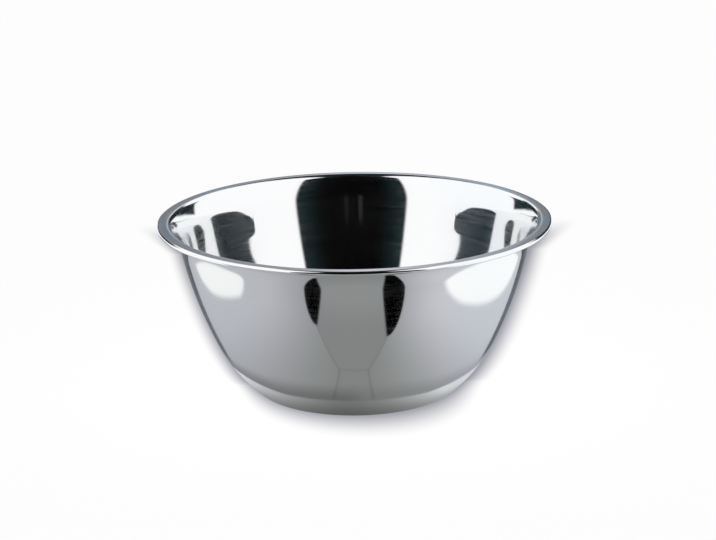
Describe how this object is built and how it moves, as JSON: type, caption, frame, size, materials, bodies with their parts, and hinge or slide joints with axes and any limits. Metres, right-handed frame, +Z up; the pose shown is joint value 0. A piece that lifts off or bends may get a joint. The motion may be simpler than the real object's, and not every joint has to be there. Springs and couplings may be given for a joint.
{
  "type": "conical mixing bowl",
  "caption": "Polished stainless steel mixing bowl: flat base, rounded belly, wall steepening to a short straight cone that flares under a level flange with a curled outer edge, drawn from a single sheet.",
  "frame": {"origin": "centre of the base, on the plane of the standing ring that the bowl rests on", "axes": "+Z is up along the bowl's axis of revolution; the picture is taken from the -Y side looking along +Y; +X is to the right in the picture"},
  "size_m": [0.24, 0.24, 0.106],
  "materials": {
    "polished_steel": "mirror-polished stainless steel with fine polishing lines round the axis"
  },
  "bodies": {
    "root": {"bowl_shell": "polished_steel"}
  },
  "joints": []
}
